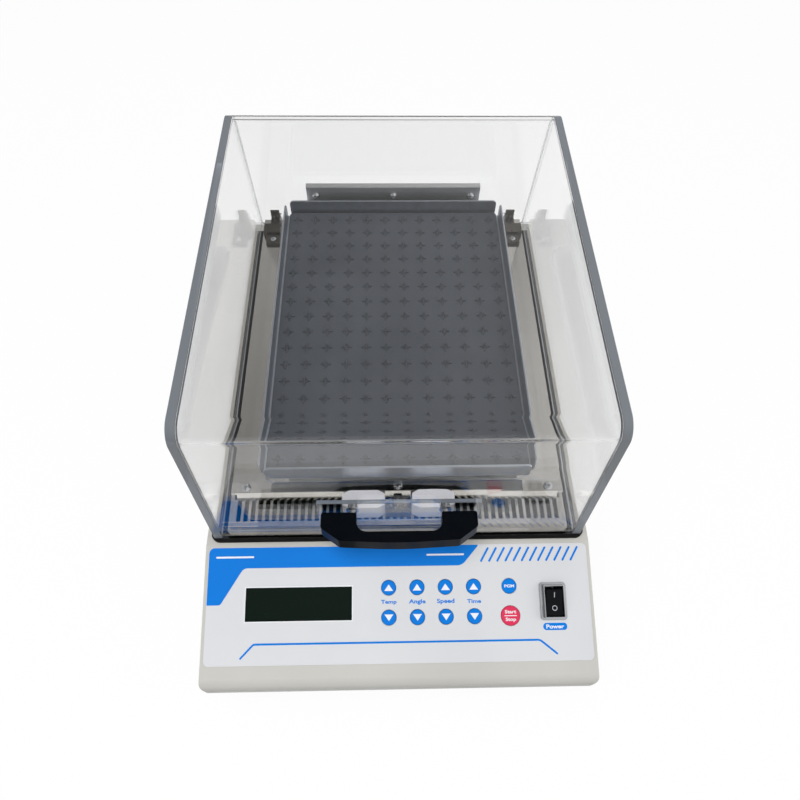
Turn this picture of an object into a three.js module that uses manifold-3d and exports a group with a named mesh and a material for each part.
// Benchtop incubating rocking shaker with a clear hinged lid. Millimetres, +Z up, front towards -Y.
// The origin lies on the table, under the centre of the base.
import * as THREE from "three";
import { mergeVertices } from "three/addons/utils/BufferGeometryUtils.js";
import Module from "manifold-3d";

const wasm = await Module();
wasm.setup();

// ---------------------------------------------------------------- driving dimensions
const GAP = 0.3; // clearance between pieces that touch or sit in one another

// base
const BODY_WIDTH = 284;
const BODY_DEPTH = 427;
const RIM_HEIGHT = 100; // flat top of the housing, above the table
const FOOT_HEIGHT = 8;
const FOOT_RADIUS = 9;
const FOOT_INSET = 24;
const WALL = 3; // housing wall
const CORNER_RADIUS = 4; // upright corners of the housing
const NOSE_RADIUS = 14; // where the control panel rolls into the front
const NOSE_FLAT = 4; // upright part of the front under the nose
const FRONT_UNDERCUT = THREE.MathUtils.degToRad(10); // the front leans back below that
const UNDERCUT_RADIUS = 18;
const BOTTOM_PLATE = 2;
const PANEL_TILT = THREE.MathUtils.degToRad(17.1);
const PANEL_RUN = 94.5; // level length of the sloping panel, from the front to its fold

// lid
const LID_SIDE_MARGIN = 6; // housing outside the lid, on each side
const LID_FRONT_MARGIN = 4.7; // from the panel's fold to the lid
const LID_BACK_MARGIN = 0.8;
const LID_HEIGHT = 135;
const LID_LEAN = 14.2; // how far front and back lean in over the height
const LID_BEND = 14; // outer bend radius
const SHEET_ACRYLIC = 5;
const SIDE_ACRYLIC = 6;
const GASKET = 2.4;
const GASKET_MARGIN = 2.6; // gasket outside the lid

// chamber
const PAN_SIDE_MARGIN = 11; // from the lid's outside to the pan
const PAN_FRONT_MARGIN = 10.3;
const PAN_BACK_MARGIN = 9.7;
const PAN_DROP = 38; // pan's bottom below the rim
const SHEET = 1.2; // stainless sheet
const DECK_RISE = 7; // slotted deck above the rim
const DECK_DEPTH = 32;
const FLOOR_RISE = 13; // polished floor plate above the rim
const FLOOR_SETBACK = 23.8; // behind the deck's front edge
const FLOOR_STRIP = 8; // raised strip along the floor's front edge
const FLOOR_STEP = 0.8; // how far the strip is raised
const FLOOR_LIP = 3.8; // how far the front lip leans forward on its way down to the deck
const FLANGE_WIDTH = 4; // at the front
const FLANGE_SIDE = 2.4; // at the sides
const GRILLE_PITCH = 5.29;
const GRILLE_SLOT = 3.2;
const SCREW_HOLE = 1.9; // radius
const SCREW_SHANK = 1.5; // radius

// lid handle and catches
const HANDLE_WIDTH = 108;
const HANDLE_REACH = 21;
const HANDLE_HEIGHT = 11;
const HANDLE_OPENING = 59;
const HANDLE_BAR = 6.5;
const HANDLE_FACET = 13; // slanted corners
const HANDLE_BOW = 2.2; // how far the bar bows out in its middle
const HANDLE_INNER_RADIUS = 12;
const HANDLE_RISE = 34.5; // centre of the handle above the lid's bottom edge, along the front
const HANDLE_SCREW_SPACING = 65;
const HANDLE_SCREW = 2.2; // radius
const STRIKE_WIDTH = 114;
const STRIKE_HEIGHT = 26;
const STRIKE_THICKNESS = 3;
const CATCH_WIDTH = 31;
const CATCH_DEPTH = 12;
const CATCH_HEIGHT = 19.5;
const CATCH_SPACING = 50.8;
const CATCH_SETBACK = 7.4; // behind the front of the chamber pan
const CATCH_CHAMFER = [5, 2.7]; // along the width, along the depth

// platform
const ROCKER_RISE = 10.5; // rocking axis above the floor plate
const ROCKER_SHAFT = 4; // radius
const BEARING_RADIUS = 7;
const BEARING_LENGTH = 10;
const TRAY_RISE = 10.5; // tray above the rocking axis
const TRAY_WIDTH = 199;
const TRAY_LENGTH = 266.5;
const TRAY_SETBACK = 2.2; // behind the floor plate's front edge
const TRAY_FLANGE = 16;
const TRAY_SHEET = 1.5;
const TRAY_RELIEF = 4; // open gap at each corner of the tray
const MAT_THICKNESS = 2;
const MAT_MARGIN = 2; // between the mat and the tray's flanges
const MAT_PITCH = 16;
const MAT_CONE = [2.6, 5.2]; // radius and height of a cone
const CRADLE_WIDTH = 110;
const CRADLE_LENGTH = 220;
const CRADLE_SHEET = 1.2;
const CRADLE_LUG = 8; // half the width of a lug
const BEARING_INSET = 18; // bearing block from each end of the cradle
const LUG_INSET = 32; // lug from each end of the cradle

// drive
const MOTOR_SIZE = 42.3;
const MOTOR_LENGTH = 40;
const MOTOR_CHAMFER = 4;
const MOTOR_SHAFT = 2.5; // radius
const BELT_OFFSET = 21.75; // belt behind the middle of the tray
const BELT_WIDTH = 6;
const BELT_THICKNESS = 1.2;
const MOTOR_PULLEY = 5; // radius
const ROCKER_PULLEY = 7.5; // radius, half as much again as the motor's
const PULLEY_LIP = 1.2;

// air and heat
const FAN_SIZE = 40;
const FAN_DEPTH = 10.5;
const FAN_INSET = 15; // behind it, to the pan's back
const FAN_HUB = 8.5; // radius
const FAN_BLADES = 7;
const HEATER_WIDTH = 106;
const HEATER_DEPTH = 14;
const HEATER_HEIGHT = 30;
const HEATER_INSET = 55; // its front, from the pan's back
const DUCT_WIDTH = 159.6;
const DUCT_INSET = 8.5; // duct plate in front of the pan's back
const DUCT_HEIGHT = 47;
const DUCT_SHEET = 2;
const DUCT_FOOT = 7;
const DUCT_SCREW_SPACING = 71.4;
const DUCT_SCREW_DROP = 9.5; // screws below the top of the plate

// electrics
const SUPPLY_SIZE = [80, 90, 38];
const SUPPLY_INSET = [24, 73.5]; // from the housing's right side and back
const INLET_SIZE = [28, 20];
const INLET_INSET = 50; // its centre from the housing's left side
const INLET_HEIGHT = 38;
const INLET_DEPTH = 22;
const INLET_SOCKET = 16; // depth of the hole that takes the plug
const INLET_FLANGE = [10, 4]; // beside and above the inlet's body
const VENT_SLOT = 3;
const VENT_PITCH = 7;
const VENT_COUNT = 12;
const VENT_START = 112; // first vent from the housing's right side
const VENT_HEIGHTS = [24, 50];
const BOTTOM_SLOT = 4;
const BOTTOM_SLOT_PITCH = 9;
const BOTTOM_SLOT_COUNT = 8;

// control panel, measured down and across the slope from the top edge of the overlay
const OVERLAY_SIDE_MARGIN = 2.5;
const OVERLAY_LENGTH = 82;
const OVERLAY_THICKNESS = 0.6;
const OVERLAY_MARGIN = 1.3; // below the panel's fold
const KEY_RADIUS = 5.3;
const START_RADIUS = 6.9;
const KEY_PITCH = 20.7;
const KEY_FIRST = -7.7; // across, first column of keys
const KEY_ROWS = [30.1, 50.8];
const PROGRAM_COLUMN = 80.5;
const KEY_PROUD = 0.5;
const KEY_SIDES = 20;
const WINDOW_CENTRE = [-72.9, 40.5];
const WINDOW_SIZE = [77, 23.4];
const WINDOW_DEPTH = [0.4, 1.8]; // top and bottom of the window below the panel's face
const SWITCH_CENTRE = [111.8, 41];
const SWITCH_FRAME = [19.5, 26.5];
const SWITCH_PROUD = 6;
const SWITCH_FLANGE = 1.6;
const SWITCH_WALL = 1.5; // between the rocker's pocket and the switch body's outside
const ROCKER_SIZE = [12, 20];
const ROCKER_TILT = THREE.MathUtils.degToRad(8);
const ROCKER_PIVOT = 0.5; // above the panel's face
const BOARD_MARGIN = 16.5; // control board inside the overlay's sides
const BOARD_LENGTH = 66;
const BOARD_DOWN = 41;
const BOARD_DEPTH = 8; // under the panel's face
const BOARD_THICKNESS = 1.6;

// hinges of the lid
const HINGE_MARGIN = 10.7; // middle of the hinge inside the pan's side
const HINGE_WIDTH = 12.7;
const HINGE_INSET = 3; // axis in from the lid's back bottom edge
const HINGE_RADIUS = 2.6;
const HINGE_PIN = 1.2; // radius
const HINGE_REACH = 41; // front of the lower leaf, in front of the axis
const HINGE_LENGTH = 24; // of the lower leaf
const HINGE_BLOCK = [16, 12, 4.6]; // across, deep, high
const HINGE_LEAF = 2.5;
const HINGE_ARMS = [1.8, 4.2]; // inner and outer faces of the two arms, from the middle
const HINGE_UPPER_LEAF = 6; // height of the leaf on the lid
const HINGE_NOTCH = 3.5; // top of the notch in the lid, above the floor plate

// ---------------------------------------------------------------- worked out from them
const BODY_FRONT = -BODY_DEPTH / 2;
const BODY_BACK = BODY_DEPTH / 2;
const BODY_HALF = BODY_WIDTH / 2;
const PANEL_FOLD = BODY_FRONT + PANEL_RUN;
const BASE_FLOOR = FOOT_HEIGHT + GAP + BOTTOM_PLATE; // what stands inside the base stands here

const LID_WIDTH = BODY_WIDTH - 2 * LID_SIDE_MARGIN;
const LID_FRONT = PANEL_FOLD + LID_FRONT_MARGIN;
const LID_BACK = BODY_BACK - LID_BACK_MARGIN;
const LID_BOTTOM = RIM_HEIGHT + GASKET + 2 * GAP;
const LID_SLANT = Math.atan2(LID_LEAN, LID_HEIGHT);

const PAN_HALF = LID_WIDTH / 2 - PAN_SIDE_MARGIN;
const PAN_FRONT = LID_FRONT + PAN_FRONT_MARGIN;
const PAN_BACK = LID_BACK - PAN_BACK_MARGIN;
const PAN_BOTTOM = RIM_HEIGHT - PAN_DROP;
const PAN_FLOOR = PAN_BOTTOM + SHEET + GAP; // fan and heater stand here
const DECK_HEIGHT = RIM_HEIGHT + DECK_RISE;
const FLOOR_HEIGHT = RIM_HEIGHT + FLOOR_RISE;
const FLOOR_SEAT = FLOOR_HEIGHT + GAP; // what is screwed to the floor plate sits here
const FLOOR_FRONT = PAN_FRONT + FLOOR_SETBACK;
const DUCT_FRONT = PAN_BACK - DUCT_INSET;
const DUCT_TOP = FLOOR_HEIGHT + DUCT_HEIGHT;
const FAN_BACK = PAN_BACK - FAN_INSET;

const ROCKER_AXIS = FLOOR_HEIGHT + ROCKER_RISE;
const TRAY_BOTTOM = ROCKER_AXIS + TRAY_RISE;
const TRAY_FRONT = FLOOR_FRONT + TRAY_SETBACK;
const TRAY_BACK = TRAY_FRONT + TRAY_LENGTH;
const TRAY_CENTRE = (TRAY_FRONT + TRAY_BACK) / 2;
const CRADLE_TOP = TRAY_BOTTOM - GAP;
const CRADLE_BOTTOM = CRADLE_TOP - CRADLE_SHEET;
const CRADLE_FRONT = TRAY_CENTRE - CRADLE_LENGTH / 2;
const CRADLE_BACK = TRAY_CENTRE + CRADLE_LENGTH / 2;
const MOTOR_AXIS = BASE_FLOOR + GAP + MOTOR_SIZE / 2;
const BELT_PLANE = TRAY_CENTRE + BELT_OFFSET;
const BELT_WAY = ROCKER_PULLEY + BELT_THICKNESS + 3; // half the width of the belt's openings

const OVERLAY_WIDTH = BODY_WIDTH - 2 * OVERLAY_SIDE_MARGIN;
const OVERLAY_TOP = GAP + OVERLAY_THICKNESS;
const BOARD_WIDTH = OVERLAY_WIDTH - 2 * BOARD_MARGIN;
const SWITCH_BODY = ROCKER_SIZE.map((size) => size + 2 * SWITCH_WALL);
const INLET_ACROSS = -BODY_HALF + INLET_INSET;
const HINGE_CENTRE = PAN_HALF - HINGE_MARGIN;
const HINGE_AXIS_Y = LID_BACK - HINGE_INSET;
const HINGE_AXIS_Z = LID_BOTTOM + HINGE_INSET;

const materials = {
  housing: { color: 0xd3d1c6, roughness: 0.5, metalness: 0 },
  steel: { color: 0xc9ccce, roughness: 0.22, metalness: 1 },
  tray: { color: 0xa4a9b0, roughness: 0.35, metalness: 1 },
  chrome: { color: 0xdfe1e3, roughness: 0.12, metalness: 1 },
  zinc: { color: 0x9da0a3, roughness: 0.5, metalness: 1 },
  acrylic: { color: 0xeef2f6, roughness: 0.05, metalness: 0 },
  black: { color: 0x17181a, roughness: 0.45, metalness: 0 },
  rubber: { color: 0x1b1b1c, roughness: 0.85, metalness: 0 },
  silicone: { color: 0x7b8087, roughness: 0.7, metalness: 0 },
  overlay: { color: 0xe3e6ec, roughness: 0.4, metalness: 0 },
  display: { color: 0x212d26, roughness: 0.15, metalness: 0 },
  key: { color: 0x107de0, roughness: 0.4, metalness: 0 },
  startKey: { color: 0xd64060, roughness: 0.4, metalness: 0 },
  white: { color: 0xe6e6ea, roughness: 0.45, metalness: 0 },
  board: { color: 0x1e6b3c, roughness: 0.6, metalness: 0 },
  hinge: { color: 0x55534e, roughness: 0.4, metalness: 1 },
};

// ---------------------------------------------------------------- solids from three.js geometry
// A solid of the manifold library from a closed three.js geometry.
function solid(geometry) {
  const plain = geometry.index ? geometry.toNonIndexed() : geometry.clone();
  plain.deleteAttribute("normal");
  plain.deleteAttribute("uv");
  const merged = mergeVertices(plain, 1e-4);
  return new wasm.Manifold(
    new wasm.Mesh({
      numProp: 3,
      vertProperties: merged.attributes.position.array,
      triVerts: new Uint32Array(merged.index.array),
    }),
  );
}

function geometryOf(body) {
  const { vertProperties, triVerts, numProp } = body.getMesh();
  const positions = new Float32Array((vertProperties.length / numProp) * 3);
  for (let i = 0; i < positions.length / 3; i += 1) {
    for (let axis = 0; axis < 3; axis += 1) {
      positions[3 * i + axis] = vertProperties[numProp * i + axis];
    }
  }
  const geometry = new THREE.BufferGeometry();
  geometry.setAttribute("position", new THREE.BufferAttribute(positions, 3));
  geometry.setIndex(new THREE.BufferAttribute(new Uint32Array(triVerts), 1));
  geometry.computeVertexNormals();
  return geometry;
}

function join(...bodies) {
  return bodies.reduce((whole, body) => whole.add(body));
}

function cut(body, ...tools) {
  return tools.reduce((rest, tool) => rest.subtract(tool), body);
}

// An outline through [x, y, radius] corners, each rounded by its radius.
function outline(corners) {
  const shape = new THREE.Shape();
  corners.forEach(([x, y, radius = 0], i) => {
    const corner = new THREE.Vector2(x, y);
    const before = new THREE.Vector2(...corners.at(i - 1).slice(0, 2));
    const after = new THREE.Vector2(...corners[(i + 1) % corners.length].slice(0, 2));
    const back = before.sub(corner);
    const ahead = after.sub(corner);
    const angle = Math.acos(back.dot(ahead) / (back.length() * ahead.length()));
    const reach = Math.min(radius / Math.tan(angle / 2), back.length() / 2, ahead.length() / 2);
    const start = corner.clone().add(back.setLength(reach || 1e-9));
    const end = corner.clone().add(ahead.setLength(reach || 1e-9));
    if (i === 0) {
      shape.moveTo(start.x, start.y);
    } else {
      shape.lineTo(start.x, start.y);
    }
    if (radius > 0) {
      arcThrough(shape, start, corner, end, angle);
    }
  });
  shape.closePath();
  return shape;
}

// A circular arc from start to end, tangent to the lines that meet at corner.
function arcThrough(shape, start, corner, end, angle) {
  const radius = start.distanceTo(corner) * Math.tan(angle / 2);
  const middle = start.clone().add(end).multiplyScalar(0.5);
  const inward = middle.clone().sub(corner);
  const centre = corner.clone().add(inward.setLength(radius / Math.sin(angle / 2)));
  const from = start.clone().sub(centre);
  const to = end.clone().sub(centre);
  const clockwise = from.cross(to) < 0;
  shape.absarc(centre.x, centre.y, radius, from.angle(), to.angle(), clockwise);
}

function rectangle(x0, x1, y0, y1, radius = 0) {
  return outline([
    [x0, y0, radius],
    [x1, y0, radius],
    [x1, y1, radius],
    [x0, y1, radius],
  ]);
}

const ARC_STEPS = 5;

function extrude(shape, depth, steps = ARC_STEPS) {
  return new THREE.ExtrudeGeometry(shape, { depth, bevelEnabled: false, curveSegments: steps });
}

// A shape drawn in (y, z), from x0 to x1.
function alongX(shape, x0, x1, steps) {
  const turn = new THREE.Matrix4().makeBasis(
    new THREE.Vector3(0, 1, 0),
    new THREE.Vector3(0, 0, 1),
    new THREE.Vector3(1, 0, 0),
  );
  return solid(extrude(shape, x1 - x0, steps).applyMatrix4(turn).translate(x0, 0, 0));
}

// A shape drawn in (x, z), from y0 to y1.
function alongY(shape, y0, y1, steps) {
  return solid(extrude(shape, y1 - y0, steps).rotateX(Math.PI / 2).translate(0, y1, 0));
}

// A shape drawn in (x, y), from z0 to z1.
function alongZ(shape, z0, z1, steps) {
  return solid(extrude(shape, z1 - z0, steps).translate(0, 0, z0));
}

function block(x0, x1, y0, y1, z0, z1) {
  const box = new THREE.BoxGeometry(x1 - x0, y1 - y0, z1 - z0);
  return solid(box.translate((x0 + x1) / 2, (y0 + y1) / 2, (z0 + z1) / 2));
}

function rodX(radius, x0, x1, y, z, sides = 16) {
  const rod = new THREE.CylinderGeometry(radius, radius, x1 - x0, sides);
  return solid(rod.rotateZ(Math.PI / 2).translate((x0 + x1) / 2, y, z));
}

function rodY(radius, y0, y1, x, z, sides = 16) {
  const rod = new THREE.CylinderGeometry(radius, radius, y1 - y0, sides);
  return solid(rod.translate(x, (y0 + y1) / 2, z));
}

function rodZ(radius, z0, z1, x, y, sides = 16) {
  const rod = new THREE.CylinderGeometry(radius, radius, z1 - z0, sides);
  return solid(rod.rotateX(Math.PI / 2).translate(x, y, (z0 + z1) / 2));
}

// A turned piece: its profile of [radius, height] runs bottom to top; it stands on +Z.
function turned(profile, sides = 16) {
  const points = profile.map(([radius, height]) => new THREE.Vector2(radius, height));
  return solid(new THREE.LatheGeometry(points, sides).rotateX(Math.PI / 2));
}

const scene = new THREE.Group();
scene.name = "incubating_rocker";

// Names a solid and hangs it in the scene, or in a group of it.
function place(name, body, material, parent = scene) {
  const mesh = new THREE.Mesh(
    geometryOf(body),
    new THREE.MeshStandardMaterial(materials[material]),
  );
  mesh.name = name;
  parent.add(mesh);
  return mesh;
}

// ---------------------------------------------------------------- frames on sloping faces
// On the panel: x across, -y down the slope, z out of it, from the middle of the overlay's top edge.
const panel = new THREE.Group();
panel.rotation.x = PANEL_TILT;
panel.position.set(
  0,
  PANEL_FOLD - OVERLAY_MARGIN * Math.cos(PANEL_TILT),
  RIM_HEIGHT - OVERLAY_MARGIN * Math.sin(PANEL_TILT),
);
panel.updateMatrixWorld(true);
scene.add(panel);

// On the lid's front: x across, z up along the sheet from its bottom edge, -y out of it.
const lidFront = new THREE.Group();
lidFront.rotation.x = -LID_SLANT;
lidFront.position.set(0, LID_FRONT, LID_BOTTOM);
lidFront.updateMatrixWorld(true);
scene.add(lidFront);

// A solid made in a sloping group's frame, moved to the part's frame.
function inFrameOf(group, body) {
  return solid(geometryOf(body).applyMatrix4(group.matrixWorld));
}

// ---------------------------------------------------------------- base
// Height at which the upright front starts to lean back: under the nose's roll.
const UNDERCUT_START =
  RIM_HEIGHT -
  (PANEL_RUN - NOSE_RADIUS) * Math.tan(PANEL_TILT) -
  NOSE_RADIUS / Math.cos(PANEL_TILT) -
  NOSE_FLAT;

// Where the leaning front stands at a height, inset from the outside by a wall.
function frontAt(height, inset) {
  const drop = UNDERCUT_START - height;
  return BODY_FRONT + (inset + drop * Math.sin(FRONT_UNDERCUT)) / Math.cos(FRONT_UNDERCUT);
}

// The housing's side view, drawn in (y, z), inset from the outside by a wall.
function housingProfile(inset, bottom) {
  const slope = Math.tan(PANEL_TILT);
  const front = BODY_FRONT + inset;
  const fold = PANEL_FOLD + inset * Math.tan(PANEL_TILT / 2);
  const nose = RIM_HEIGHT + (front - PANEL_FOLD) * slope - inset / Math.cos(PANEL_TILT);
  const turn = UNDERCUT_START + inset * Math.tan(FRONT_UNDERCUT / 2);
  return outline([
    [frontAt(bottom, inset), bottom, inset ? 0 : 2],
    [BODY_BACK - inset, bottom, inset ? 0 : 2],
    [BODY_BACK - inset, RIM_HEIGHT - inset, 5 - inset],
    [fold, RIM_HEIGHT - inset, 2],
    [front, nose, NOSE_RADIUS - inset],
    [front, turn, UNDERCUT_RADIUS - inset],
  ]);
}

function bodyOutline(inset, front) {
  const half = BODY_HALF - inset;
  return rectangle(-half, half, front, BODY_BACK - inset, CORNER_RADIUS - inset);
}

function housingShell(inset, bottom) {
  const slab = alongX(housingProfile(inset, bottom), -BODY_HALF, BODY_HALF, 2 * ARC_STEPS - 2);
  return slab.intersect(alongZ(bodyOutline(inset, BODY_FRONT + inset), 0, RIM_HEIGHT + 1));
}

function keyPlaces() {
  const places = [];
  const names = ["temp", "angle", "speed", "time"];
  names.forEach((name, i) => {
    const across = KEY_FIRST + i * KEY_PITCH;
    places.push({ name: `key_${name}_up`, across, down: KEY_ROWS[0], radius: KEY_RADIUS });
    places.push({ name: `key_${name}_down`, across, down: KEY_ROWS[1], radius: KEY_RADIUS });
  });
  const [first, second] = KEY_ROWS;
  places.push({ name: "key_program", across: PROGRAM_COLUMN, down: first, radius: KEY_RADIUS });
  places.push({ name: "key_start", across: PROGRAM_COLUMN, down: second, radius: START_RADIUS });
  return places;
}

// A box on the panel round a centre given as [across, down].
function panelBox([across, down], [width, length], z0, z1, grow = 0) {
  const halfWidth = width / 2 + grow;
  const halfLength = length / 2 + grow;
  return block(across - halfWidth, across + halfWidth, -down - halfLength, -down + halfLength, z0, z1);
}

// What passes through the panel: keys, display window and power switch, each with its clearance.
function panelHoles(z0, z1) {
  const keys = keyPlaces().map(({ across, down, radius }) =>
    rodZ(radius + GAP, z0, z1, across, -down, KEY_SIDES),
  );
  return join(
    ...keys,
    panelBox(WINDOW_CENTRE, WINDOW_SIZE, z0, z1, GAP),
    panelBox(SWITCH_CENTRE, SWITCH_BODY, z0, z1, GAP),
  );
}

function boardPosts(radius, z0, z1) {
  const posts = [];
  for (const side of [-1, 1]) {
    for (const end of [-1, 1]) {
      const across = side * (BOARD_WIDTH / 2 - 5);
      const down = BOARD_DOWN + end * (BOARD_LENGTH / 2 - 5);
      posts.push(rodZ(radius, z0, z1, across, -down, 12));
    }
  }
  return posts;
}

// Upright air slots in the housing's back.
function backVents() {
  const vents = [];
  for (let i = 0; i < VENT_COUNT; i += 1) {
    const x = BODY_HALF - VENT_START + i * VENT_PITCH;
    vents.push(block(x, x + VENT_SLOT, BODY_BACK - 2 * WALL, BODY_BACK + 1, ...VENT_HEIGHTS));
  }
  return vents;
}

function buildBase() {
  const side = PAN_HALF + 2 * GAP;
  const opening = block(
    -side,
    side,
    PAN_FRONT - 2 * GAP,
    PAN_BACK + 2 * GAP,
    RIM_HEIGHT - 2 * WALL,
    RIM_HEIGHT + 1,
  );
  const inlet = inletBox(GAP, BODY_BACK - 2 * WALL, BODY_BACK + 1);
  const bosses = boardPosts(3, -BOARD_DEPTH, -WALL / 2).map((post) => inFrameOf(panel, post));
  const shell = cut(
    housingShell(0, FOOT_HEIGHT),
    housingShell(WALL, FOOT_HEIGHT - 1),
    opening,
    inlet,
    ...backVents(),
  );
  place(
    "base_housing",
    cut(join(shell, ...bosses), inFrameOf(panel, panelHoles(-WALL - 2, 2))),
    "housing",
  );
  const inset = WALL + GAP;
  const plate = alongZ(
    bodyOutline(inset, frontAt(FOOT_HEIGHT, inset)),
    FOOT_HEIGHT + GAP,
    BASE_FLOOR,
  );
  place("bottom_plate", cut(plate, ...bottomSlots()), "zinc");
  buildFeet();
}

// Air slots in the bottom plate, under the power supply.
function bottomSlots() {
  const [x0, , y0] = supplyCorners();
  const slots = [];
  for (let i = 0; i < BOTTOM_SLOT_COUNT; i += 1) {
    const x = x0 + 2 + i * BOTTOM_SLOT_PITCH;
    slots.push(
      block(x, x + BOTTOM_SLOT, y0 + 10, y0 + SUPPLY_SIZE[1] - 10, FOOT_HEIGHT, BASE_FLOOR + 1),
    );
  }
  return slots;
}

function buildFeet() {
  const foot = turned([
    [0, 0],
    [FOOT_RADIUS - 2, 0],
    [FOOT_RADIUS - 1, 0.5],
    [FOOT_RADIUS, FOOT_HEIGHT],
    [0, FOOT_HEIGHT],
  ], 20);
  for (const [side, sideName] of [[-1, "left"], [1, "right"]]) {
    for (const [end, endName] of [[-1, "front"], [1, "rear"]]) {
      const mesh = place(`foot_${endName}_${sideName}`, foot, "rubber");
      mesh.position.set(
        side * (BODY_HALF - FOOT_INSET),
        end * (BODY_BACK - FOOT_INSET),
        0,
      );
    }
  }
}

// ---------------------------------------------------------------- control panel
function buildPanel() {
  const half = OVERLAY_WIDTH / 2;
  const skin = alongZ(
    rectangle(-half, half, -OVERLAY_LENGTH, 0, 4),
    GAP,
    OVERLAY_TOP,
  );
  place("control_overlay", cut(skin, panelHoles(-1, 3)), "overlay", panel);
  const [windowTop, windowBottom] = WINDOW_DEPTH;
  const lens = panelBox(WINDOW_CENTRE, WINDOW_SIZE, -windowBottom, -windowTop);
  place("lcd_window", lens, "display", panel);
  buildBoard();
  keyPlaces().forEach(({ name, across, down, radius }) => {
    const top = OVERLAY_TOP + KEY_PROUD;
    const rim = top - 0.2;
    const profile = [[0, -WALL], [radius, -WALL], [radius, rim], [radius - 0.5, top], [0, top]];
    const cap = turned(profile, KEY_SIDES);
    const mesh = place(name, cap, name === "key_start" ? "startKey" : "key", panel);
    mesh.position.set(across, -down, 0);
  });
  buildSwitch();
}

// The board hangs under the panel on four bosses and carries the display and a button under each key.
function buildBoard() {
  const top = -BOARD_DEPTH - GAP;
  const board = panelBox([0, BOARD_DOWN], [BOARD_WIDTH, BOARD_LENGTH], top - BOARD_THICKNESS, top);
  const module = panelBox(WINDOW_CENTRE, WINDOW_SIZE, top - 0.5, -WINDOW_DEPTH[1] - GAP, -1);
  const buttons = keyPlaces().map(({ across, down }) =>
    rodZ(2, top - 0.5, -WALL - 0.5, across, -down, 10),
  );
  const clearance = panelBox(SWITCH_CENTRE, SWITCH_BODY, -30, 0, 2);
  place("control_board", cut(join(board, module, ...buttons), clearance), "board", panel);
}

function buildSwitch() {
  const [across, down] = SWITCH_CENTRE;
  const base = OVERLAY_TOP + GAP;
  const floor = -10; // of the rocker's pocket
  const bezel = alongZ(
    rectangle(
      across - SWITCH_FRAME[0] / 2,
      across + SWITCH_FRAME[0] / 2,
      -down - SWITCH_FRAME[1] / 2,
      -down + SWITCH_FRAME[1] / 2,
      2.5,
    ),
    base,
    base + SWITCH_FLANGE,
  );
  const body = panelBox(SWITCH_CENTRE, SWITCH_BODY, floor - 4, base + SWITCH_PROUD);
  const pocket = panelBox(SWITCH_CENTRE, ROCKER_SIZE, floor, base + SWITCH_PROUD + 1, 2 * GAP);
  place("switch_frame", cut(join(bezel, body), pocket), "black", panel);

  // The rocker, in its own frame on its pivot: two flats that meet in a shallow valley.
  const pivot = new THREE.Group();
  pivot.position.set(across, -down, ROCKER_PIVOT);
  pivot.rotation.x = ROCKER_TILT;
  panel.add(pivot);
  const half = ROCKER_SIZE[1] / 2 - 0.8;
  const profile = outline([
    [-half, 1, 1],
    [0, -6, 2],
    [half, 1, 1],
    [half, 7, 0.6],
    [0, 5.8, 6],
    [-half, 7, 0.6],
  ]);
  place("power_rocker", alongX(profile, -ROCKER_SIZE[0] / 2, ROCKER_SIZE[0] / 2), "black", pivot);
}

// ---------------------------------------------------------------- inside the base
function supplyCorners() {
  const x1 = BODY_HALF - SUPPLY_INSET[0];
  const y1 = BODY_BACK - SUPPLY_INSET[1];
  return [x1 - SUPPLY_SIZE[0], x1, y1 - SUPPLY_SIZE[1], y1];
}

function buildSupply() {
  const z0 = BASE_FLOOR + GAP;
  const z1 = z0 + SUPPLY_SIZE[2];
  const [x0, x1, y0, y1] = supplyCorners();
  const grooves = [];
  for (let i = 0; i < 5; i += 1) {
    const x = x0 + 8 + i * 14;
    grooves.push(block(x, x + 8, y0 + 10, y1 - 10, z1 - 1.5, z1 + 1));
  }
  place("power_supply", cut(block(x0, x1, y0, y1, z0, z1), ...grooves), "zinc");
}

// A box round the inlet's axis, as wide and high as its body, from y0 to y1.
function inletBox(grow, y0, y1) {
  const [width, height] = INLET_SIZE;
  return block(
    INLET_ACROSS - width / 2 - grow,
    INLET_ACROSS + width / 2 + grow,
    y0,
    y1,
    INLET_HEIGHT - height / 2 - grow,
    INLET_HEIGHT + height / 2 + grow,
  );
}

// The inlet is screwed on from inside, and its nose fills an opening in the housing's back.
function buildInlet() {
  const [width, height] = INLET_SIZE;
  const [beside, above] = INLET_FLANGE;
  const seat = BODY_BACK - WALL - GAP;
  const flange = alongY(
    rectangle(
      INLET_ACROSS - width / 2 - beside,
      INLET_ACROSS + width / 2 + beside,
      INLET_HEIGHT - height / 2 - above,
      INLET_HEIGHT + height / 2 + above,
      4,
    ),
    seat - 2,
    seat,
  );
  const socket = inletBox(-2, BODY_BACK - INLET_SOCKET, BODY_BACK + 1);
  const pins = [[-7, -2.5], [0, 0], [7, -2.5]].map(([dx, dz]) => {
    const x = INLET_ACROSS + dx;
    const z = INLET_HEIGHT + dz;
    return block(x - 1, x + 1, BODY_BACK - INLET_SOCKET - 1, BODY_BACK - 3, z - 2.5, z + 2.5);
  });
  const body = join(inletBox(0, BODY_BACK - INLET_DEPTH, BODY_BACK), flange);
  place("power_inlet", join(cut(body, socket), ...pins), "black");
}

function beltLoop(grow) {
  const low = MOTOR_PULLEY + grow;
  const high = ROCKER_PULLEY + grow;
  const lean = Math.asin((high - low) / (ROCKER_AXIS - MOTOR_AXIS));
  const loop = new THREE.Shape();
  loop.absarc(0, MOTOR_AXIS, low, Math.PI - lean, 2 * Math.PI + lean, false);
  loop.absarc(0, ROCKER_AXIS, high, lean, Math.PI - lean, false);
  loop.closePath();
  return loop;
}

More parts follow.
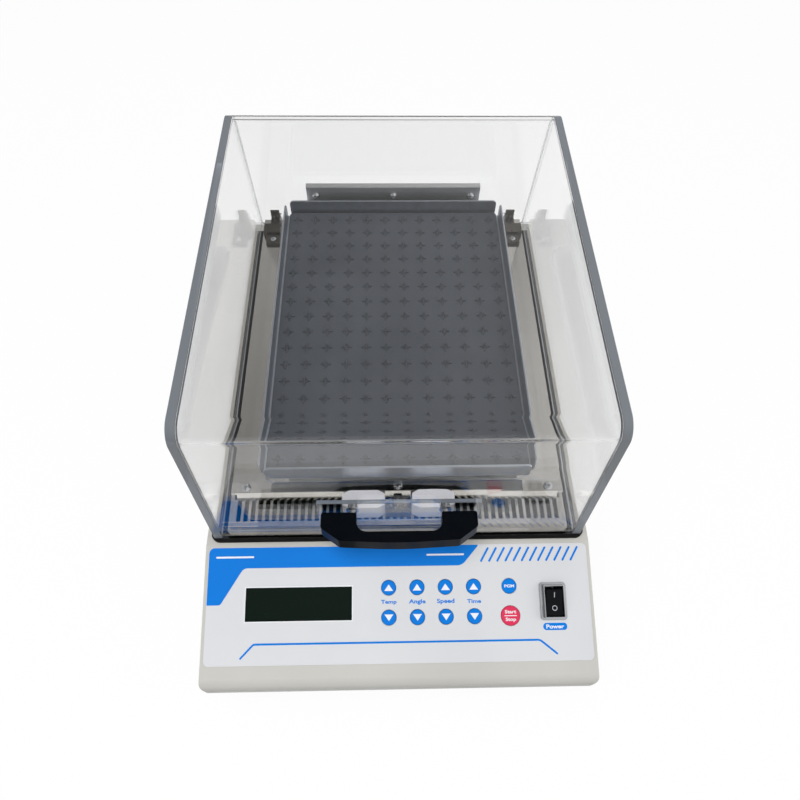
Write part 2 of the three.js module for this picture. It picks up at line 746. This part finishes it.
// A belt pulley on the Y axis with a lip at each side of the belt.
function pulley(radius, z) {
  const half = BELT_WIDTH / 2 + GAP;
  return join(
    rodY(radius, BELT_PLANE - half - 1, BELT_PLANE + half + 1, 0, z, 24),
    rodY(radius + PULLEY_LIP, BELT_PLANE - half - 1, BELT_PLANE - half, 0, z, 24),
    rodY(radius + PULLEY_LIP, BELT_PLANE + half, BELT_PLANE + half + 1, 0, z, 24),
  );
}

// The motor's square section with its corners cut, in (x, z).
function motorSection() {
  const half = MOTOR_SIZE / 2;
  const cutBack = half - MOTOR_CHAMFER;
  const quarter = [
    [half, cutBack],
    [cutBack, half],
  ];
  const corners = [];
  for (const [signX, signZ] of [[1, 1], [-1, 1], [-1, -1], [1, -1]]) {
    const run = signX * signZ > 0 ? quarter : [...quarter].reverse();
    corners.push(...run.map(([x, z]) => [signX * x, MOTOR_AXIS + signZ * z]));
  }
  return outline(corners);
}

function buildDrive() {
  const face = BELT_PLANE - BELT_WIDTH / 2 - 7;
  const motor = cut(
    join(
      alongY(motorSection(), face - MOTOR_LENGTH, face),
      rodY(11, face - 1, face + 2, 0, MOTOR_AXIS, 24),
    ),
    rodY(MOTOR_SHAFT + GAP, face - 12, face + 3, 0, MOTOR_AXIS),
  );
  place("drive_motor", motor, "black");
  const shaft = rodY(MOTOR_SHAFT, face - 11, BELT_PLANE + BELT_WIDTH, 0, MOTOR_AXIS);
  place("motor_pulley", join(pulley(MOTOR_PULLEY, MOTOR_AXIS), shaft), "zinc");
  const half = BELT_WIDTH / 2;
  const belt = cut(
    alongY(beltLoop(GAP + BELT_THICKNESS), BELT_PLANE - half, BELT_PLANE + half, 2 * ARC_STEPS),
    alongY(beltLoop(GAP), BELT_PLANE - BELT_WIDTH, BELT_PLANE + BELT_WIDTH, 2 * ARC_STEPS),
  );
  place("drive_belt", belt, "rubber");
}

// ---------------------------------------------------------------- chamber
function beltOpening(z0, z1) {
  const y = BELT_WIDTH + 1;
  return block(-BELT_WAY, BELT_WAY, BELT_PLANE - y, BELT_PLANE + y, z0, z1);
}

function floorScrewPlaces() {
  return [["left", -1], ["middle", 0], ["right", 1]].map(([name, side]) => ({
    name,
    x: side * (PAN_HALF - 11),
    y: FLOOR_FRONT + FLOOR_STRIP / 2,
  }));
}

// The slots of the front deck, as many as its width takes.
function grilleSlots() {
  const count = Math.floor((2 * PAN_HALF - 6) / GRILLE_PITCH);
  const half = GRILLE_SLOT / 2;
  const front = PAN_FRONT + 4;
  const slots = [];
  for (let i = 0; i < count; i += 1) {
    const x = (i - (count - 1) / 2) * GRILLE_PITCH;
    slots.push(block(x - half, x + half, front, FLOOR_FRONT - 1, DECK_HEIGHT - 3, DECK_HEIGHT + 1));
  }
  return slots;
}

function buildPan() {
  const half = PAN_HALF;
  const inside = half - SHEET;
  const wallTop = FLOOR_HEIGHT - SHEET - GAP;
  const deckBack = PAN_FRONT + DECK_DEPTH;
  const box = cut(
    block(-half, half, PAN_FRONT, PAN_BACK, PAN_BOTTOM, wallTop),
    block(-inside, inside, PAN_FRONT + SHEET, PAN_BACK - SHEET, PAN_BOTTOM + SHEET, wallTop + 1),
    block(-half - 1, half + 1, PAN_FRONT - 1, deckBack, DECK_HEIGHT, wallTop + 1),
  );
  const deck = block(-half, half, PAN_FRONT, deckBack, DECK_HEIGHT - SHEET, DECK_HEIGHT);
  const rim = rectangle(
    -half - FLANGE_SIDE,
    half + FLANGE_SIDE,
    PAN_FRONT - FLANGE_WIDTH,
    PAN_BACK + 2.5,
    FLANGE_WIDTH + 1,
  );
  const flange = cut(
    alongZ(rim, RIM_HEIGHT + GAP, RIM_HEIGHT + GAP + SHEET),
    block(-half + 0.5, half - 0.5, PAN_FRONT + 0.5, PAN_BACK - 0.5, PAN_BOTTOM, wallTop),
  );
  const holes = floorScrewPlaces().map(({ x, y }) =>
    rodZ(SCREW_HOLE, PAN_BOTTOM + 2 * SHEET, FLOOR_HEIGHT, x, y, 10),
  );
  const pan = cut(
    join(box, deck, flange),
    ...grilleSlots(),
    ...holes,
    beltOpening(PAN_BOTTOM - 1, PAN_FLOOR + 1),
  );
  place("chamber_pan", pan, "steel");
}

// The floor plate's side view. Its front edge is raised by a step and turns down over the deck.
function floorProfile(under, lip) {
  const top = FLOOR_HEIGHT;
  const strip = FLOOR_FRONT + FLOOR_STRIP;
  return outline([
    [PAN_BACK, under],
    [PAN_BACK, top],
    [strip + FLOOR_STEP, top],
    [strip, top + FLOOR_STEP],
    [FLOOR_FRONT, top + FLOOR_STEP, 0.6],
    [FLOOR_FRONT - FLOOR_LIP, lip],
    [FLOOR_FRONT - FLOOR_LIP + 1.3 * SHEET, lip],
    [FLOOR_FRONT + SHEET, under + FLOOR_STEP],
    [strip, under + FLOOR_STEP],
    [strip + FLOOR_STEP, under],
  ]);
}

function buildFloor() {
  const half = PAN_HALF;
  const top = FLOOR_HEIGHT;
  const under = top - SHEET;
  const lip = DECK_HEIGHT + GAP;
  const airSlots = [];
  for (let i = 0; i < 6; i += 1) {
    const x = (i - 2.5) * 24;
    airSlots.push(block(x - 9, x + 9, DUCT_FRONT + 3.5, PAN_BACK - 1.8, under - 1, top + 1));
  }
  const ends = [-half - 1, half - 4].map((x) =>
    block(x, x + 5, FLOOR_FRONT - FLOOR_LIP - 1, FLOOR_FRONT + 0.2, lip - 1, under + FLOOR_STEP / 2),
  );
  const holes = floorScrewPlaces().map(({ x, y }) => rodZ(SCREW_HOLE, under - 2, top + 2, x, y, 10));
  const plate = cut(
    alongX(floorProfile(under, lip), -half, half),
    ...airSlots,
    ...ends,
    ...holes,
    beltOpening(under - 1, top + 1),
  );
  place("floor_plate", plate, "steel");

  const screw = turned([
    [0, -14],
    [SCREW_SHANK, -14],
    [SCREW_SHANK, 0],
    [3.6, 0],
    [3.5, 1],
    [2.4, 2],
    [0, 2.3],
  ]);
  for (const { name, x, y } of floorScrewPlaces()) {
    const mesh = place(`floor_screw_${name}`, screw, "chrome");
    mesh.position.set(x, y, FLOOR_SEAT + FLOOR_STEP);
  }
}

// The upright plate in front of the air outlet: a foot forward, a fold backward at the top.
function buildDuct() {
  const half = DUCT_WIDTH / 2;
  const back = DUCT_FRONT + DUCT_SHEET;
  const profile = outline([
    [DUCT_FRONT - DUCT_FOOT, FLOOR_SEAT],
    [back, FLOOR_SEAT],
    [back, DUCT_TOP - DUCT_SHEET],
    [back + 3, DUCT_TOP - DUCT_SHEET],
    [back + 3, DUCT_TOP],
    [DUCT_FRONT, DUCT_TOP, 1.2],
    [DUCT_FRONT, FLOOR_SEAT + DUCT_SHEET],
    [DUCT_FRONT - DUCT_FOOT, FLOOR_SEAT + DUCT_SHEET],
  ]);
  const screwHeight = DUCT_TOP - DUCT_SCREW_DROP;
  const spots = [["left", -1], ["middle", 0], ["right", 1]];
  const holes = spots.map(([, side]) =>
    rodY(SCREW_HOLE, DUCT_FRONT - 1, back + 1, side * DUCT_SCREW_SPACING, screwHeight, 10),
  );
  place("duct_plate", cut(alongX(profile, -half, half), ...holes), "steel");

  const screw = turned([
    [0, -5],
    [SCREW_SHANK, -5],
    [SCREW_SHANK, 0],
    [3.4, 0],
    [3.3, 1.4],
    [2.2, 2.6],
    [0, 2.9],
  ]);
  for (const [name, side] of spots) {
    const mesh = place(`duct_screw_${name}`, screw, "chrome");
    mesh.rotation.x = Math.PI / 2;
    mesh.position.set(side * DUCT_SCREW_SPACING, DUCT_FRONT - GAP, screwHeight);
  }
}

function buildFan() {
  const axis = PAN_FLOOR + FAN_SIZE / 2;
  const half = FAN_SIZE / 2;
  const front = FAN_BACK - FAN_DEPTH;
  const bore = half - 1.4;
  const arms = [0, 1, 2].map((i) => {
    const arm = new THREE.BoxGeometry(bore + 0.4 - FAN_HUB / 2, 1.5, 2);
    arm.translate((bore + 0.4 + FAN_HUB / 2) / 2, 0, 0);
    return solid(arm.rotateY((i * 2 * Math.PI) / 3).translate(0, FAN_BACK - 0.9, axis));
  });
  const ring = cut(
    alongY(rectangle(-half, half, axis - half, axis + half, 2), front, FAN_BACK),
    rodY(bore, front - 1, FAN_BACK + 1, 0, axis, 28),
  );
  const mount = rodY(FAN_HUB, FAN_BACK - 2, FAN_BACK, 0, axis, 20);
  place("fan_frame", join(ring, mount, ...arms), "black");

  const rotorBack = FAN_BACK - 2 - GAP;
  const blades = [];
  for (let i = 0; i < FAN_BLADES; i += 1) {
    const length = bore - FAN_HUB;
    const blade = new THREE.BoxGeometry(length, 1, 6.5);
    blade.rotateX(THREE.MathUtils.degToRad(55));
    blade.translate(FAN_HUB - 1 + length / 2, 0, 0);
    blade.rotateY((i * 2 * Math.PI) / FAN_BLADES);
    blades.push(solid(blade.translate(0, (front + rotorBack) / 2 + GAP, axis)));
  }
  place("fan_rotor", join(rodY(FAN_HUB, front + 1, rotorBack, 0, axis, 20), ...blades), "black");
}

function buildHeater() {
  const half = HEATER_WIDTH / 2;
  const front = PAN_BACK - HEATER_INSET;
  const gaps = [];
  for (let x = -half + 6; x < half - 6; x += 9) {
    gaps.push(
      block(x, x + 3.5, front - 1, front + HEATER_DEPTH + 1, PAN_FLOOR + 4, PAN_FLOOR + HEATER_HEIGHT + 1),
    );
  }
  const bar = block(-half, half, front, front + HEATER_DEPTH, PAN_FLOOR, PAN_FLOOR + HEATER_HEIGHT);
  place("heater", cut(bar, ...gaps), "zinc");
}

// ---------------------------------------------------------------- rocking platform
function bearingPlaces() {
  return [["front", CRADLE_FRONT + BEARING_INSET], ["rear", CRADLE_BACK - BEARING_INSET]];
}

function buildBearings() {
  const r = BEARING_RADIUS;
  const half = BEARING_LENGTH / 2;
  for (const [name, y] of bearingPlaces()) {
    const stand = outline([
      [-r - 6, FLOOR_SEAT],
      [r + 6, FLOOR_SEAT],
      [r + 6, FLOOR_SEAT + 3],
      [r, FLOOR_SEAT + 3],
      [r, ROCKER_AXIS + r, r - 0.1],
      [-r, ROCKER_AXIS + r, r - 0.1],
      [-r, FLOOR_SEAT + 3],
      [-r - 6, FLOOR_SEAT + 3],
    ]);
    const bore = rodY(ROCKER_SHAFT + GAP, y - half - 1, y + half + 1, 0, ROCKER_AXIS, 20);
    place(`bearing_block_${name}`, cut(alongY(stand, y - half, y + half), bore), "zinc");
  }
}

function buildPlatform() {
  const [[, frontBearing], [, rearBearing]] = bearingPlaces();
  const shaft = join(
    rodY(ROCKER_SHAFT, frontBearing - 8, rearBearing + 8, 0, ROCKER_AXIS, 20),
    pulley(ROCKER_PULLEY, ROCKER_AXIS),
  );
  place("rocker_shaft", shaft, "zinc");

  const half = CRADLE_WIDTH / 2;
  const lugs = [CRADLE_FRONT + LUG_INSET, CRADLE_BACK - LUG_INSET].map((y) =>
    block(
      -CRADLE_LUG,
      CRADLE_LUG,
      y - 5,
      y + 5,
      ROCKER_AXIS - ROCKER_SHAFT - 3,
      CRADLE_BOTTOM + CRADLE_SHEET / 2,
    ),
  );
  const bore = rodY(ROCKER_SHAFT + GAP, CRADLE_FRONT, CRADLE_BACK, 0, ROCKER_AXIS, 20);
  const window = beltOpening(CRADLE_BOTTOM - 1, CRADLE_TOP + 1);
  const plan = rectangle(-half, half, CRADLE_FRONT, CRADLE_BACK, 6);
  const sheet = alongZ(plan, CRADLE_BOTTOM, CRADLE_TOP);
  place("tray_cradle", cut(join(sheet, ...lugs), bore, window), "zinc");
  buildBearings();
  buildTray();
}

function buildTray() {
  const half = TRAY_WIDTH / 2;
  const z0 = TRAY_BOTTOM;
  const z1 = z0 + TRAY_FLANGE;
  const r = TRAY_RELIEF;
  const round = 4; // upper corners of the flanges
  const reliefs = [-half - 1, half - r].flatMap((x) =>
    [TRAY_FRONT - 1, TRAY_BACK - r].map((y) => block(x, x + r + 1, y, y + r + 1, z0 - 1, z1)),
  );
  const floor = cut(
    block(-half, half, TRAY_FRONT, TRAY_BACK, z0, z0 + TRAY_SHEET),
    ...reliefs,
  );
  const across = outline([
    [-half + r, z0],
    [half - r, z0],
    [half - r, z1, round],
    [-half + r, z1, round],
  ]);
  const along = outline([
    [TRAY_FRONT + r, z0],
    [TRAY_BACK - r, z0],
    [TRAY_BACK - r, z1, round],
    [TRAY_FRONT + r, z1, round],
  ]);
  const tray = join(
    floor,
    alongY(across, TRAY_FRONT, TRAY_FRONT + TRAY_SHEET),
    alongY(across, TRAY_BACK - TRAY_SHEET, TRAY_BACK),
    alongX(along, -half, -half + TRAY_SHEET),
    alongX(along, half - TRAY_SHEET, half),
  );
  place("tray", tray, "tray");
  buildMat();
}

// A flat slab with pointed cones in rows, as many as the tray takes.
function buildMat() {
  const edge = TRAY_SHEET + MAT_MARGIN;
  const halfWidth = TRAY_WIDTH / 2 - edge;
  const halfLength = TRAY_LENGTH / 2 - edge;
  const base = TRAY_BOTTOM + TRAY_SHEET + GAP;
  const top = base + MAT_THICKNESS;
  const plan = rectangle(-halfWidth, halfWidth, TRAY_CENTRE - halfLength, TRAY_CENTRE + halfLength, 3);
  const columns = Math.floor((2 * halfWidth) / MAT_PITCH);
  const rows = Math.floor((2 * halfLength) / MAT_PITCH);
  const sunk = 0.4;
  const [radius, height] = MAT_CONE;
  const cone = new THREE.ConeGeometry(radius, height + sunk, 4);
  cone.rotateX(Math.PI / 2).translate(0, 0, top + (height - sunk) / 2);
  const cones = [];
  for (let row = 0; row < rows; row += 1) {
    for (let column = 0; column < columns; column += 1) {
      const x = (column - (columns - 1) / 2) * MAT_PITCH;
      const y = TRAY_CENTRE + (row - (rows - 1) / 2) * MAT_PITCH;
      cones.push(solid(cone.clone().translate(x, y, 0)));
    }
  }
  place("tray_mat", join(alongZ(plan, base, top), ...cones), "silicone");
}

// ---------------------------------------------------------------- lid
// The lid's side view in (y, z), inset by a wall from front, top and back, open at the bottom.
function lidCorners(inset) {
  const side = inset / Math.cos(LID_SLANT);
  const radius = LID_BEND - inset;
  const lean = (height) => (height / LID_HEIGHT) * LID_LEAN;
  const top = LID_HEIGHT - inset;
  return [
    [LID_FRONT + side, LID_BOTTOM, 0],
    [LID_FRONT + side + lean(top), LID_BOTTOM + top, radius],
    [LID_BACK - side - lean(top), LID_BOTTOM + top, radius],
    [LID_BACK - side, LID_BOTTOM, 0],
  ];
}

const LID_STEPS = 8; // steps of each bend

function handleScrewPlaces() {
  return [["left", -1], ["right", 1]].map(([name, side]) => ({
    name,
    x: (side * HANDLE_SCREW_SPACING) / 2,
  }));
}

function hingeSides() {
  return [["left", -HINGE_CENTRE], ["right", HINGE_CENTRE]];
}

function buildLid() {
  const inner = LID_WIDTH / 2 - SIDE_ACRYLIC;
  const band = outline([...lidCorners(0), ...lidCorners(SHEET_ACRYLIC).reverse()]);
  const screwHoles = handleScrewPlaces().map(({ x }) =>
    inFrameOf(lidFront, rodY(HANDLE_SCREW + GAP, -1, SHEET_ACRYLIC + 1, x, HANDLE_RISE, 16)),
  );
  const notches = hingeSides().map(([, x]) =>
    block(
      x - HINGE_ARMS[1] - 1,
      x + HINGE_ARMS[1] + 1,
      LID_BACK - 12,
      LID_BACK + 1,
      LID_BOTTOM - 1,
      FLOOR_HEIGHT + HINGE_NOTCH,
    ),
  );
  const sheet = alongX(band, -inner + GAP, inner - GAP, LID_STEPS);
  place("lid_sheet", cut(sheet, ...screwHoles, ...notches), "acrylic");

  const side = outline(lidCorners(0));
  place("lid_side_left", alongX(side, -LID_WIDTH / 2, -inner, LID_STEPS), "acrylic");
  place("lid_side_right", alongX(side, inner, LID_WIDTH / 2, LID_STEPS), "acrylic");
  buildHandle();
}

function handleArch() {
  const half = HANDLE_WIDTH / 2;
  const open = HANDLE_OPENING / 2;
  const reach = -GAP - HANDLE_REACH;
  const inside = reach + HANDLE_BAR;
  const shoulder = reach + 0.75 * HANDLE_FACET;
  return outline([
    [-half, -GAP, 1.5],
    [-open, -GAP, 1.5],
    [-open, inside, HANDLE_INNER_RADIUS],
    [open, inside, HANDLE_INNER_RADIUS],
    [open, -GAP, 1.5],
    [half, -GAP, 1.5],
    [half, shoulder, 4],
    [half - HANDLE_FACET, reach, 4],
    [0, reach - HANDLE_BOW, 300],
    [-half + HANDLE_FACET, reach, 4],
    [-half, shoulder, 4],
  ]);
}

function buildHandle() {
  const z0 = HANDLE_RISE - HANDLE_HEIGHT / 2;
  const sockets = handleScrewPlaces().map(({ x }) =>
    rodY(HANDLE_SCREW + GAP, -10, 1, x, HANDLE_RISE, 16),
  );
  const handle = cut(alongZ(handleArch(), z0, z0 + HANDLE_HEIGHT, ARC_STEPS + 1), ...sockets);
  place("lid_handle", handle, "black", lidFront);

  const strikeFront = SHEET_ACRYLIC + GAP;
  const strikeBack = strikeFront + STRIKE_THICKNESS;
  const holes = handleScrewPlaces().map(({ x }) =>
    rodY(HANDLE_SCREW + GAP, strikeFront - 1, strikeBack + 1, x, HANDLE_RISE, 16),
  );
  const plate = block(
    -STRIKE_WIDTH / 2,
    STRIKE_WIDTH / 2,
    strikeFront,
    strikeBack,
    HANDLE_RISE - STRIKE_HEIGHT / 2,
    HANDLE_RISE + STRIKE_HEIGHT / 2,
  );
  place("lid_strike", cut(plate, ...holes), "acrylic", lidFront);

  // A screw from the handle through lid and strike plate, with a washer and a cap nut inside.
  const washer = strikeBack + GAP;
  const screw = turned([
    [0, -9],
    [HANDLE_SCREW, -9],
    [HANDLE_SCREW, washer],
    [4.6, washer],
    [4.6, washer + 1.1],
    [3.6, washer + 1.2],
    [3.6, washer + 4.1],
    [2.4, washer + 5.1],
    [0, washer + 5.3],
  ], 18);
  for (const { name, x } of handleScrewPlaces()) {
    const mesh = place(`handle_screw_${name}`, screw, "chrome", lidFront);
    mesh.rotation.x = -Math.PI / 2;
    mesh.position.set(x, 0, HANDLE_RISE);
  }
}

// The gasket runs round the front and the sides; the back stays free for the lid to swing.
function buildGasket() {
  const end = LID_BACK - 14;
  const bend = PAN_FRONT - FLANGE_WIDTH - GAP;
  const across = (half, front, back, radius) =>
    outline([
      [half, front, radius],
      [half, back],
      [-half, back],
      [-half, front, radius],
    ]);
  const outside = across(LID_WIDTH / 2 + GASKET_MARGIN, LID_FRONT - GASKET_MARGIN, end, 7);
  const inside = across(PAN_HALF + FLANGE_SIDE + GAP, bend, end + 1, FLANGE_WIDTH + 1);
  const bottom = RIM_HEIGHT + GAP;
  const ring = cut(
    alongZ(outside, bottom, bottom + GASKET),
    alongZ(inside, bottom - 1, bottom + GASKET + 1),
  );
  place("lid_gasket", ring, "rubber");
}

function buildCatches() {
  const z0 = DECK_HEIGHT + GAP;
  const y1 = PAN_FRONT + CATCH_SETBACK;
  const y2 = y1 + CATCH_DEPTH;
  const half = CATCH_WIDTH / 2;
  const [along, across] = CATCH_CHAMFER;
  for (const [name, side] of [["left", -1], ["right", 1]]) {
    const x = (side * CATCH_SPACING) / 2;
    const plan = outline([
      [x - half, y1 + across],
      [x - half + along, y1],
      [x + half - along, y1],
      [x + half, y1 + across],
      [x + half, y2 - across],
      [x + half - along, y2],
      [x - half + along, y2],
      [x - half, y2 - across],
    ]);
    place(`catch_${name}`, alongZ(plan, z0, z0 + CATCH_HEIGHT), "white");
  }
  const plate = 0.8;
  const probe = turned([[0, 0], [3.4, 0], [3.4, 1.6], [2.6, 2.2], [0, 2.2]]);
  const sensor = join(
    block(-9.2, 9.2, y1 + 0.8, y1 + 8, z0, z0 + plate + 0.2),
    probe.translate([0, y1 + 4.4, z0 + plate]),
  );
  place("chamber_sensor", sensor, "black");
}

// ---------------------------------------------------------------- lid hinges
// The lower half: a leaf screwed to the floor plate, a block on it, and two arms down to the pin.
function hingeBase(x, outward) {
  const floor = FLOOR_SEAT;
  const half = HINGE_WIDTH / 2;
  const front = HINGE_AXIS_Y - HINGE_REACH;
  const back = front + HINGE_LENGTH;
  const armProfile = outline([
    [back - 4, floor],
    [HINGE_AXIS_Y - 6.4, floor],
    [HINGE_AXIS_Y - 4.2, floor - 3],
    [HINGE_AXIS_Y - 2.2, HINGE_AXIS_Z - 1],
    [HINGE_AXIS_Y + 2, HINGE_AXIS_Z + 1],
    [HINGE_AXIS_Y - 2.6, floor + HINGE_LEAF],
    [back - 4, floor + HINGE_LEAF],
  ]);
  const [near, far] = HINGE_ARMS;
  const arms = [[near, far], [-far, -near]].flatMap(([from, to]) => [
    alongX(armProfile, x + from, x + to),
    rodX(HINGE_RADIUS, x + from, x + to, HINGE_AXIS_Y, HINGE_AXIS_Z),
  ]);
  const [width, depth, height] = HINGE_BLOCK;
  const inner = x - outward * half;
  const outer = inner + outward * width;
  const left = Math.min(inner, outer);
  const sink = turned([[0, 0], [1.6, 0], [3.4, 2], [3.4, 4], [0, 4]]);
  return cut(
    join(
      block(x - half, x + half, front, back, floor, floor + HINGE_LEAF),
      block(left, left + width, back - depth, back, floor, floor + height),
      rodX(HINGE_PIN, x - far + 0.5, x + far - 0.5, HINGE_AXIS_Y, HINGE_AXIS_Z, 12),
      ...arms,
    ),
    sink.translate([x, front + 5.8, floor + 0.8]),
  );
}

// The upper half: a leaf on the inside of the lid's back, with a neck down to the pin.
function hingeLeaf(x) {
  const [near, far] = HINGE_ARMS;
  const tongue = near - GAP;
  const offset = (SHEET_ACRYLIC + GAP) / Math.cos(LID_SLANT);
  const sheet = (z) => LID_BACK - offset - ((z - LID_BOTTOM) / LID_HEIGHT) * LID_LEAN;
  const notch = FLOOR_HEIGHT + HINGE_NOTCH;
  const low = notch + 1;
  const high = low + HINGE_UPPER_LEAF;
  const plate = outline([
    [sheet(low) - 2, low],
    [sheet(low), low],
    [sheet(high), high],
    [sheet(high) - 2, high],
  ]);
  const neck = outline([
    [HINGE_AXIS_Y - 2.4, HINGE_AXIS_Z],
    [HINGE_AXIS_Y + 0.5, HINGE_AXIS_Z],
    [sheet(notch), notch],
    [sheet(low + 1), low + 1],
    [sheet(low) - 2, low + 1],
  ]);
  return cut(
    join(
      alongX(plate, x - far, x + far),
      alongX(neck, x - tongue, x + tongue),
      rodX(HINGE_RADIUS, x - tongue, x + tongue, HINGE_AXIS_Y, HINGE_AXIS_Z),
    ),
    rodX(HINGE_PIN + GAP, x - far, x + far, HINGE_AXIS_Y, HINGE_AXIS_Z, 12),
  );
}

function buildHinges() {
  for (const [name, x] of hingeSides()) {
    place(`hinge_base_${name}`, hingeBase(x, Math.sign(x)), "hinge");
    place(`hinge_leaf_${name}`, hingeLeaf(x), "hinge");
  }
}

buildBase();
buildPanel();
buildSupply();
buildInlet();
buildDrive();
buildPan();
buildFloor();
buildDuct();
buildFan();
buildHeater();
buildPlatform();
buildGasket();
buildCatches();
buildLid();
buildHinges();

export default scene;
